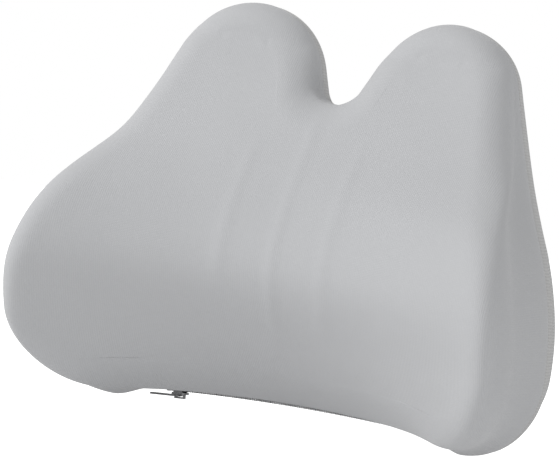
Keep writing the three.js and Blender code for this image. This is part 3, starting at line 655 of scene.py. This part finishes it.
def row_normals(rows):
    """Outward normals of a grid of rows that runs from a rim to a pole."""
    grid = np.array(rows)
    around = np.roll(grid, -1, 1) - np.roll(grid, 1, 1)
    along = np.gradient(grid, axis=0)
    n = np.cross(around, along)
    n /= np.linalg.norm(n, axis=2, keepdims=True) + 1e-9
    outline_out = np.column_stack([-cushion.nx, 0 * cushion.x, -cushion.nz])
    if (n[0] * outline_out).sum() < 0:
        n = -n
    return n


def cover_normals(rows, side):
    """Outward normals of a cover's rows, exact on the front and back faces."""
    n = row_normals(rows)
    faces = FRONT_FACE_ROWS if side > 0 else BACK_FACE_ROWS
    for k in range(len(rows) - faces, len(rows)):
        n[k] = front_normals(rows[k]) if side > 0 else [0, 1, 0]
    return n


def soft_waves(p):
    """Slow unevenness of a stuffed cover, from 0 to 1 high."""
    x, y, z = p[..., 0], p[..., 1], p[..., 2]
    a = np.sin(x / 17.0 + 1.3) * np.cos(z / 23.0 - 0.4 + y / 31.0)
    b = np.sin((x + z) / 13.0 + y / 19.0) * np.cos((x - 1.4 * z) / 29.0)
    return 0.5 * (a + b)


def groove(away):
    """How deep the seam pulls the cover in, `away` mm from it."""
    return GROOVE_DEPTH * np.exp(-np.abs(away) / GROOVE_WIDTH)


def solid(name, points, faces):
    """A smooth-shaded object with all its faces turned outwards."""
    mesh = bpy.data.meshes.new(name)
    mesh.from_pydata(points, [], faces)
    made = bmesh.new()
    made.from_mesh(mesh)
    bmesh.ops.recalc_face_normals(made, faces=made.faces)
    made.to_mesh(mesh)
    made.free()
    mesh.shade_smooth()
    obj = bpy.data.objects.new(name, mesh)
    scene.collection.objects.link(obj)
    return obj


def grid_mesh(name, grid, pole, first_pole=None):
    """A mesh of rows of points, in millimetres, that closes on a pole at one or both ends."""
    count, n = grid.shape[:2]
    faces = []
    for r in range(count - 1):
        for k in range(n):
            after = (k + 1) % n
            faces.append((r * n + k, r * n + after, (r + 1) * n + after, (r + 1) * n + k))
    last = count * n
    faces += [((count - 1) * n + k, (count - 1) * n + (k + 1) % n, last) for k in range(n)]
    points = [*grid.reshape(-1, 3), pole]
    if first_pole is not None:
        points.append(first_pole)
        faces += [((k + 1) % n, k, last + 1) for k in range(n)]
    return solid(name, mm(points).tolist(), faces)


def halved(grid, closed):
    """The grid with a smooth new line of points half way between each two along axis 0."""
    if closed:
        before, after = np.roll(grid, 1, 0), np.roll(grid, -1, 0)
        beyond = np.roll(grid, -2, 0)
    else:
        before = np.vstack([grid[:1], grid[:-1]])
        after = np.vstack([grid[1:], grid[-1:]])
        beyond = np.vstack([grid[2:], grid[-1:], grid[-1:]])
    middle = (9 * (grid + after) - before - beyond) / 16
    if not closed:
        middle[0] = (grid[0] + after[0]) / 2
        middle[-2] = (grid[-2] + grid[-1]) / 2
    both = np.stack([grid, middle], 1).reshape(-1, *grid.shape[1:])
    return both if closed else both[:-1]


def opening(side):
    """Half of the gap between the covers: wide at the zip, a stitch's width elsewhere."""
    return side * (SEAM_GAP + cushion.zip * (ZIP_OPENING - SEAM_GAP))


RIM_STEPS = [0.0, 0.7, 1.5, 2.6, 4.2, 6.5]  # rows close together beside the seam
RIM_ROOM = 9.0  # they draw together where the wall leaves less than this
FAR_FROM_SEAM = 99.0


def cover_rows(side):
    """Rows of the front (side 1) or back (side -1) cover, from its rim to its pole."""
    rows, away = [], []
    if side > 0:
        room = cushion.wall_depth + BACK_ROUND_R - cushion.seam - opening(1)
    else:
        room = cushion.seam - BACK_ROUND_R + opening(-1)
    for step in RIM_STEPS:
        reach = np.minimum(step, room * step / RIM_ROOM)
        rows.append(cushion.beside_seam(opening(side) + side * reach))
        away.append(reach)
    if side > 0:
        start = opening(1) + away[-1]
        for share in np.linspace(0, 1, 9)[1:]:
            reach = start + share * (cushion.wall_depth + BACK_ROUND_R - cushion.seam - start)
            rows.append(cushion.beside_seam(reach))
            away.append(reach - opening(1))
        faces = [cushion.front_round(angle) for angle in np.linspace(0, 90, 9)[1:]]
        shares = np.linspace(1, 0, FRONT_FACE_ROWS + 2)[1:-1]
        faces += [cushion.front_face(share) for share in shares]
    else:
        start = opening(-1) - away[-1]
        for share in (0.35, 0.7, 1.0):
            reach = start + share * (BACK_ROUND_R - cushion.seam - start)
            rows.append(cushion.beside_seam(reach))
            away.append(opening(-1) - reach)
        faces = [cushion.back_round(angle) for angle in np.linspace(90, 0, 9)[1:]]
        shares = np.linspace(1, 0, BACK_FACE_ROWS + 2)[1:-1]
        faces += [cushion.back_face(share) for share in shares]
    far = np.full_like(cushion.x, FAR_FROM_SEAM)
    return rows + faces, away + [far] * len(faces)


PUFF_CAP = 1.6  # how far, in mm, the simulation may move a point of the cover
PUFF_PRESSURE = 4.0
PUFF_FRAMES = 18
PUFF_HELD = 4  # rows at the rim that the simulation doesn't move
PUFF_FLAT = 0.3  # the back is held where it lies within this many mm of its plane
PUFF_EVENING = 12  # passes that even the movement out between neighbours
PUFF_KEPT = 10  # the rows from the cover's rim that keep the movement whole
PUFF_FADE = 14  # the rows over which it fades out; the front face keeps its moulded form


def puffed(grid, pole, side):
    """The cover blown up a little with Blender's cloth, its rim and the flat back held."""
    obj = grid_mesh("cloth", grid, pole)
    before = np.array([v.co for v in obj.data.vertices])
    held = np.zeros(len(before))
    held[: PUFF_HELD * grid.shape[1]] = 1.0
    if side < 0:
        held[before[:, 1] > -PUFF_FLAT * MM] = 1.0
    group = obj.vertex_groups.new(name="held")
    for k, weight in enumerate(held):
        group.add([k], float(weight), "REPLACE")
    cloth = obj.modifiers.new("cloth", "CLOTH")
    settings = cloth.settings
    settings.use_pressure = True
    settings.uniform_pressure_force = PUFF_PRESSURE
    settings.vertex_group_mass = "held"
    settings.pin_stiffness = 1.0
    settings.quality = 5
    settings.mass = 0.2
    settings.tension_stiffness = settings.compression_stiffness = 20
    settings.bending_stiffness = 1.0
    settings.effector_weights.gravity = 0
    cloth.collision_settings.use_collision = False
    cloth.collision_settings.use_self_collision = False
    for k in range(1, PUFF_FRAMES + 1):
        scene.frame_set(k)
    blown = obj.evaluated_get(bpy.context.evaluated_depsgraph_get())
    moved = np.array([v.co for v in blown.data.vertices]) - before
    scene.frame_set(1)
    bpy.data.objects.remove(obj)
    length = np.linalg.norm(moved, axis=1, keepdims=True) + 1e-12
    moved *= PUFF_CAP * np.tanh(length / MM / PUFF_CAP) / length
    moved = moved[:-1].reshape(grid.shape)
    for _ in range(PUFF_EVENING):
        moved = (np.roll(moved, 1, 1) + 2 * moved + np.roll(moved, -1, 1)) / 4
        moved[1:-1] = (moved[:-2] + 2 * moved[1:-1] + moved[2:]) / 4
    row = np.arange(len(grid))[:, None, None]
    grid = grid + moved * (1 - smooth((row - PUFF_KEPT) / PUFF_FADE))
    if side < 0:
        grid[..., 1] = np.minimum(grid[..., 1], 0.0)
    return grid


LINER_DEPTH = 2.9  # how far the lining and the foam lie under the cover's surface
FOAM_DEPTH = 4.8
LIFT_FROM = 20.0  # mm from the seam where the slow unevenness is at its whole height
ZIP_PULL = 0.75  # share of the seam's pull that the zip's edge is spared
TURNED_UNDER = ((2.4, 1.6), (1.1, 0.1))  # the hem's rows: mm inwards and mm along the wall


def pole_of(side, proud=0.0):
    """The middle of the front (side 1) or back (side -1) face, where its rows close."""
    y = -front_depth(np.zeros(1), np.full(1, HUB_Z))[0] - proud if side > 0 else 0.0
    return np.array([0.0, y, HUB_Z])


def make_foam(material):
    """The foam core: one closed body with the cover's form."""
    poles, skins = [], []
    for side in (-1, 1):
        rows = cover_rows(side)[0]
        skins.append(np.array(rows) - cover_normals(rows, side) * FOAM_DEPTH)
        poles.append(pole_of(side) + [0, side * FOAM_DEPTH, 0])
    grid = np.concatenate([skins[0][::-1], skins[1]])
    obj = grid_mesh("foam", grid, poles[1], poles[0])
    obj.data.materials.append(material)
    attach(obj, "cushion")
    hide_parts("foam_core")


def make_liner(name, node, side, material):
    """The inner lining, a smooth skin just under the cover."""
    rows = cover_rows(side)[0]
    grid = np.array(rows) - cover_normals(rows, side) * LINER_DEPTH
    obj = grid_mesh(name, grid, pole_of(side) + [0, side * LINER_DEPTH, 0])
    obj.data.materials.append(material)
    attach(obj, "cushion")
    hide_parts(node)


def make_cover(name, node, side, material):
    """One of the two covers, with its hem turned under along the seam and the zip."""
    rows, away = cover_rows(side)
    pole = pole_of(side, RIB_HEIGHT)
    normals = cover_normals(rows, side)
    grid = np.array(rows)
    # The seam pulls the cover in; the zip's edge is only turned under.
    pull = np.array([groove(a) * (1 - ZIP_PULL * cushion.zip) for a in away])
    lift = soft_waves(grid) * SOFT_WAVES * np.minimum(np.array(away) / LIFT_FROM, 1)
    flat = np.abs(grid[..., 1]) < 0.6 * BACK_ROUND_R
    lift[flat] = np.minimum(lift[flat], 0)
    grid = grid + normals * (lift - pull)[..., None]
    under = [grid[0] - normals[0] * d + [0, side * w, 0] for d, w in TURNED_UNDER]
    grid = np.concatenate([under, grid])
    grid = puffed(grid, pole, side)
    grid = halved(grid, closed=False)
    grid = np.swapaxes(halved(np.swapaxes(grid, 0, 1), closed=True), 0, 1)
    obj = grid_mesh(name, grid, pole)
    obj.data.materials.append(material)
    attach(obj, "cushion")
    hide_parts(node)


# ======================================================================================
# Threads, coils and ribbons
# ======================================================================================


def tube(points, radius, sides=6):
    """Vertices and faces of a round thread along points in metres."""
    p = np.array(points, float)
    along = np.gradient(p, axis=0)
    along /= np.linalg.norm(along, axis=1, keepdims=True) + 1e-12
    guide = np.array([0.0, 0.0, 1.0])
    if abs(along[0] @ guide) > 0.9:
        guide = np.array([0.0, 1.0, 0.0])
    side = np.cross(along, guide)
    side /= np.linalg.norm(side, axis=1, keepdims=True) + 1e-12
    other = np.cross(along, side)
    verts, faces = [], []
    for k in range(len(p)):
        taper = 0.55 if k in (0, len(p) - 1) else 1.0
        for j in range(sides):
            a = 2 * math.pi * j / sides
            verts.append(p[k] + radius * taper * (math.cos(a) * side[k] + math.sin(a) * other[k]))
    for k in range(len(p) - 1):
        for j in range(sides):
            m = (j + 1) % sides
            faces.append((k * sides + j, k * sides + m, (k + 1) * sides + m, (k + 1) * sides + j))
    faces.append(tuple(range(sides))[::-1])
    faces.append(tuple((len(p) - 1) * sides + j for j in range(sides)))
    return verts, faces


def join_parts(name, parts, material, body):
    """One object from a list of (vertices, faces), riding on a body."""
    verts, faces = [], []
    for v, f in parts:
        start = len(verts)
        verts += [tuple(p) for p in v]
        faces += [tuple(start + i for i in face) for face in f]
    obj = solid(name, verts, faces)
    obj.data.materials.append(material)
    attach(obj, body)
    return obj


def stitch(a, b, out, radius=0.00028, bow=0.0003):
    """One stitch from a to b, bowed along `out`."""
    a, b, out = np.array(a, float), np.array(b, float), np.array(out, float)
    points = []
    for t in (0.0, 0.2, 0.5, 0.8, 1.0):
        points.append(a + (b - a) * t + out * bow * (math.sin(math.pi * t) - 0.6))
    return tube(points, radius)


def stitch_line(points, out, length, gap):
    """Stitches along a chain of points in metres; `out` is the outward normal at each."""
    p, n = np.array(points, float), np.array(out, float)
    run = np.concatenate([[0], np.cumsum(np.linalg.norm(np.diff(p, axis=0), axis=1))])
    parts = []
    count = max(1, int(run[-1] / (length + gap)))
    pitch = run[-1] / count
    for k in range(count):
        ends = [k * pitch + gap / 2, (k + 1) * pitch - gap / 2]
        a, b = (np.array([np.interp(e, run, p[:, i]) for i in range(3)]) for e in ends)
        mid = [np.interp(sum(ends) / 2, run, n[:, i]) for i in range(3)]
        parts.append(stitch(a, b, mid))
    return parts


SEAM_STITCH_PITCH = 3.4
SEAM_STITCH_REACH = 1.15  # the stitches reach this far to either side of the seam
SEAM_STITCH_DEPTH = 2.1  # and lie this deep in its groove


def seam_stitches(material):
    """Threads that cross the bottom of the side seam's groove, away from the zip."""
    rows = {side: cushion.beside_seam(side * SEAM_STITCH_REACH) for side in (-1, 1)}
    normals = row_normals([rows[-1], rows[1]])[0]
    keep = cushion.zip < 0.02
    count = len(cushion.x)
    parts = []
    run = next_at = 0.0
    for k in range(count):
        after = (k + 1) % count
        if not (keep[k] and keep[after]):
            continue
        a, b = rows[-1][k], rows[-1][after]
        c, d = rows[1][k], rows[1][after]
        length = np.linalg.norm(b - a)
        while next_at < run + length:
            t = (next_at - run) / length
            low = a + (b - a) * t
            high = c + (d - c) * min(1, t + 0.12)
            out = normals[k] * -1 if (low - [0, 0, 100]) @ normals[k] < 0 else normals[k]
            out = out / np.linalg.norm(out)
            shift = -out * SEAM_STITCH_DEPTH
            ends = mm([low + shift, high + shift])
            parts.append(stitch(ends[0], ends[1], out, 0.00012, 0.0001))
            next_at += SEAM_STITCH_PITCH
        run += length
    join_parts("seam_stitches", parts, material, "cushion")


def on_arch(x, out, y):
    """A point in metres on the bottom arch: out mm outside the wall, y the depth."""
    angle = math.asin(x / cushion.arch_radius)
    r = cushion.arch_radius - out
    return mm([r * math.sin(angle), y, cushion.arch_centre + r * math.cos(angle)])[0]


ZIP_PROUD = 0.4  # how far the coils' middle stands out from the wall
COIL_PITCH = 1.5
COIL_END = 87.0


def coil(name, side, material, node):
    """One of the zip's two coils: an elongated helix of monofilament along the arch."""
    turns = int(2 * COIL_END / COIL_PITCH)
    per_turn = 10
    points = []
    for k in range(turns * per_turn + 1):
        turn = k / per_turn
        a = 2 * math.pi * turn
        x = -COIL_END + COIL_PITCH * (turn + (0.5 if side > 0 else 0.0))
        if x > COIL_END:
            break
        across = 1.42 - 1.36 * math.cos(a)
        out = ZIP_PROUD + 0.62 * math.sin(a)
        points.append(on_arch(x, out, -ZIP_DEPTH + side * across))
    obj = join_parts(name, [tube(points, 0.00027)], material, "cushion")
    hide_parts(node)


def zip_topstitch(material):
    """A line of stitches along the cover on either side of the zip."""
    parts = []
    for side in (-1, 1):
        y = -ZIP_DEPTH + side * (ZIP_OPENING + 2.2)
        xs = np.linspace(-ZIP_HALF_LENGTH - 2, ZIP_HALF_LENGTH + 2, 60)
        points = [on_arch(x, 0.12, y) for x in xs]
        down = [(0, 0, -1)] * len(points)
        parts += stitch_line(points, down, 0.0026, 0.0007)
    join_parts("zip_topstitch", parts, material, "cushion")


# The strap and its hardware, in millimetres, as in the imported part.
STRAP_Z = 95.0  # height of the strap's middle line
STRAP_W = 30.0
STRAP_T = 1.6
BUCKLE_Y = 24.0  # the buckle's middle plane, behind the back
LAYER_R = 3.3  # half the distance between the two layers of a strap's loop
PATCH_X = 110.0
PATCH_LENGTH = 36.0
PATCH_W = 42.0
PATCH_H = 3.3
SKIN_GAP = 0.3
RAMP_FROM = 92.0
RAMP_TO = 66.0
SOCKET_LEFT = -22.0
PLUG_RIGHT = 36.0
BAR_T = 2.4
GLIDE_X = -44.0
GLIDE_LENGTH = 24.0
GLIDE_BAR = 3.0
GLIDE_Y = BUCKLE_Y + LAYER_R + 2.3


class Pen:
    """Draws a line in the XY plane from straight stretches and arcs, in short steps."""

    def __init__(self, x, y):
        self.at = np.array([x, y], float)
        self.angle = 0.0
        self.points = [self.at.copy()]

    def line(self, length):
        steps = max(1, int(length / 2.0))
        direction = np.array([math.cos(self.angle), math.sin(self.angle)])
        for _ in range(steps):
            self.at = self.at + direction * length / steps
            self.points.append(self.at.copy())
        return self

    def arc(self, radius, sweep):
        side = math.copysign(1, sweep)
        steps = max(4, int(abs(sweep) / 12))
        centre = self.at + side * radius * np.array([-math.sin(self.angle), math.cos(self.angle)])
        for _ in range(steps):
            self.angle += math.radians(sweep) / steps
            offset = np.array([math.sin(self.angle), -math.cos(self.angle)])
            self.at = centre + side * radius * offset
            self.points.append(self.at.copy())
        return self


def strap_ramp(height):
    """From under a patch, up and away from the back to the buckle's height, at -X."""
    start = -(PATCH_X + PATCH_LENGTH / 2 - 5)
    low = SKIN_GAP + STRAP_T / 2
    run = RAMP_FROM - RAMP_TO
    turn = 2 * math.atan((height - low) / run)
    radius = run / 2 / math.sin(turn)
    pen = Pen(start, low).line(-RAMP_FROM - start)
    return pen.arc(radius, math.degrees(turn)).arc(radius, -math.degrees(turn))


def strap_left_path():
    """The whole middle line of the adjustable side, and where the hump's crest lies."""
    pen = strap_ramp(BUCKLE_Y + LAYER_R)
    pen.line(GLIDE_X - GLIDE_LENGTH / 2 + GLIDE_BAR - pen.at[0])
    hump, turn, radius = 6.5, 60.0, 2.2
    rad = math.radians(turn)
    slope = (hump - 2 * radius * (1 - math.cos(rad))) / math.sin(rad)
    run = 2 * radius * math.sin(rad) + slope * math.cos(rad)
    crest = GLIDE_LENGTH - 2 * GLIDE_BAR - 2 * run
    pen.arc(radius, turn).line(slope).arc(radius, -turn)
    pen.line(crest / 2)
    middle = len(pen.points) - 1
    pen.line(crest / 2)
    pen.arc(radius, -turn).line(slope).arc(radius, turn)
    pen.line(SOCKET_LEFT + BAR_T / 2 - pen.at[0])
    pen.arc(LAYER_R, -180)
    pen.line(pen.at[0] - (GLIDE_X + GLIDE_LENGTH / 2 + 2))
    wrap = 2.1
    climb = GLIDE_Y - wrap - pen.at[1]
    reach = pen.at[0] - GLIDE_X
    climb_turn = 2 * math.atan(climb / reach)
    climb_radius = reach / 2 / math.sin(climb_turn)
    sweep = math.degrees(climb_turn)
    pen.arc(climb_radius, -sweep).arc(climb_radius, sweep)
    pen.arc(wrap, -180).line(1.5)
    return pen.points, middle


def ribbon(name, points, material):
    """A woven strap along a line in the XY plane, its edges rounded, with UVs in metres."""
    p = np.array(points, float)
    along = np.gradient(p, axis=0)
    along /= np.linalg.norm(along, axis=1, keepdims=True)
    normal = np.column_stack([-along[:, 1], along[:, 0]])
    half, thick = STRAP_W / 2, STRAP_T / 2
    across = np.array([-1, -0.985, -0.94, -0.5, 0, 0.5, 0.94, 0.985, 1]) * half
    height = np.array([0.35, 0.75, 1, 0.92, 0.92, 0.92, 1, 0.75, 0.35]) * thick
    ring = [(a, h) for a, h in zip(across, height)] + [(a, -h) for a, h in zip(across[::-1], height)]
    run = np.concatenate([[0], np.cumsum(np.linalg.norm(np.diff(p, axis=0), axis=1))])
    verts, faces, uvs = [], [], []
    n = len(ring)
    for k in range(len(p)):
        for a, h in ring:
            place = p[k] + normal[k] * h
            verts.append(mm([place[0], place[1], STRAP_Z + a])[0])
            uvs.append((run[k] * MM, a * MM))
    for k in range(len(p) - 1):
        for j in range(n):
            m = (j + 1) % n
            faces.append((k * n + j, k * n + m, (k + 1) * n + m, (k + 1) * n + j))
    faces.append(tuple(range(n))[::-1])
    faces.append(tuple((len(p) - 1) * n + j for j in range(n)))
    obj = solid(name, [tuple(v) for v in verts], faces)
    layer = obj.data.uv_layers.new(name="weave")
    for loop in obj.data.loops:
        layer.data[loop.index].uv = uvs[loop.vertex_index]
    obj.data.materials.append(material)
    return obj


def make_straps(material):
    """Both straps: the left in two pieces that meet inside the adjuster, and the right."""
    points, middle = strap_left_path()
    outer = ribbon("strap_left_outer", points[: middle + 1], material)
    inner = ribbon("strap_left_inner", points[middle:], material)
    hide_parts("strap_left")
    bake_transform(outer)
    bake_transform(inner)
    pen = strap_ramp(BUCKLE_Y - LAYER_R)
    pen.line(-(PLUG_RIGHT - BAR_T / 2) - pen.at[0])
    pen.arc(LAYER_R, 180)
    pen.line(22)
    right = ribbon("strap_right_side", [(-x, y) for x, y in pen.points], material)
    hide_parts("strap_right")
    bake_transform(right)


def patch_stitches(material):
    """A box of stitches with a cross on each anchor patch."""
    inset = 3.5
    half_x, half_z = PATCH_LENGTH / 2 - inset, PATCH_W / 2 - inset
    for name, side in (("left", -1), ("right", 1)):
        corners = [(-half_x, -half_z), (half_x, -half_z), (half_x, half_z), (-half_x, half_z)]
        lines = [(corners[k], corners[(k + 1) % 4]) for k in range(4)]
        lines += [(corners[0], corners[2]), (corners[1], corners[3])]
        parts = []
        for (ax, az), (bx, bz) in lines:
            centre_x = side * PATCH_X
            ends = mm([
                [centre_x + ax, PATCH_H + 0.12, STRAP_Z + az],
                [centre_x + bx, PATCH_H + 0.12, STRAP_Z + bz],
            ])
            parts += stitch_line(ends, [(0, 1, 0)] * 2, 0.0026, 0.0007)
        join_parts(f"patch_stitches_{name}", parts, material, "cushion")


def label_stitches(material):
    """A line of stitches along the label's upper edge."""
    low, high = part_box("care_label")
    z = high.z - 2 * MM
    ends = [(low.x + 1.5 * MM, high.y + 0.1 * MM, z), (high.x - 1.5 * MM, high.y + 0.1 * MM, z)]
    parts = stitch_line(ends, [(0, 1, 0)] * 2, 0.0022, 0.0006)
    join_parts("label_stitches", parts, material, "cushion")


def sewn_strap_stitches(material):
    """Bar tacks that close the sewn loop of the right strap, on the plug's body."""
    parts = []
    y = BUCKLE_Y + LAYER_R + STRAP_T / 2 + 0.1
    for x in (PLUG_RIGHT + 6, PLUG_RIGHT + 16):
        ends = mm([[x, y, STRAP_Z - 12], [x, y, STRAP_Z + 12]])
        parts += stitch_line(ends, [(0, 1, 0)] * 2, 0.0018, 0.0005)
    join_parts("strap_bar_tacks", parts, material, "plug")


# ======================================================================================
# CAD nodes that stay
# ======================================================================================


def dress(name, material, bevel=None):
    """Gives a CAD node its material and, on hardware, edges softened over `bevel` mm."""
    obj = nodes[name]
    obj.data.materials.clear()
    obj.data.materials.append(material)
    if bevel:
        flat = obj.modifiers.new("flat", "DECIMATE")
        flat.decimate_type = "DISSOLVE"
        flat.angle_limit = math.radians(1.5)
        soft = obj.modifiers.new("edges", "BEVEL")
        soft.width = bevel * MM
        soft.segments = 2
        soft.limit_method = "ANGLE"
        soft.angle_limit = math.radians(35)
        soft.harden_normals = False
        soft.use_clamp_overlap = True


def main():
    make_camera()
    make_stage()

    knit = knit_material()
    back = back_material()
    weave = patch_material()
    web = webbing_material()
    nylon = nylon_material()
    metal = metal_material()
    plastic = plastic_material()
    grey_thread = thread_material("grey_thread", (0.38, 0.38, 0.39, 1), (0.47, 0.47, 0.48, 1))
    dark_thread = thread_material("dark_thread", (0.03, 0.03, 0.033, 1), (0.07, 0.07, 0.075, 1))

    make_cover("front_cover", "cover_front", 1, knit)
    make_cover("back_cover", "cover_back", -1, back)
    seam_stitches(grey_thread)
    zip_topstitch(grey_thread)
    coil("coil_front", -1, nylon, "zip_coil_front")
    coil("coil_back", 1, nylon, "zip_coil_back")
    make_straps(web)
    patch_stitches(dark_thread)
    label_stitches(grey_thread)
    sewn_strap_stitches(dark_thread)

    tape = tape_material()
    liner = plain_cloth("liner_tricot", (0.66, 0.66, 0.64, 1), (0.82, 0.82, 0.80, 1), 0.0012)
    make_liner("lining_front", "liner_front", 1, liner)
    make_liner("lining_back", "liner_back", -1, liner)
    make_foam(foam_material())
    kept = [
        (tape, None, "zip_tape_front", "zip_tape_back"),
        (metal, 0.3, "zip_stop_left", "zip_stop_right"),
        (metal, 0.25, "zip_slider", "zip_pull"),
        (weave, 0.5, "anchor_patch_left", "anchor_patch_right"),
        (plastic, 0.6, "buckle_socket", "buckle_plug"),
        (plastic, 0.4, "prong_upper", "prong_lower", "tri_glide"),
        (label_material(), 0.1, "care_label"),
    ]
    for material, bevel, *names in kept:
        for name in names:
            dress(name, material, bevel)


main()
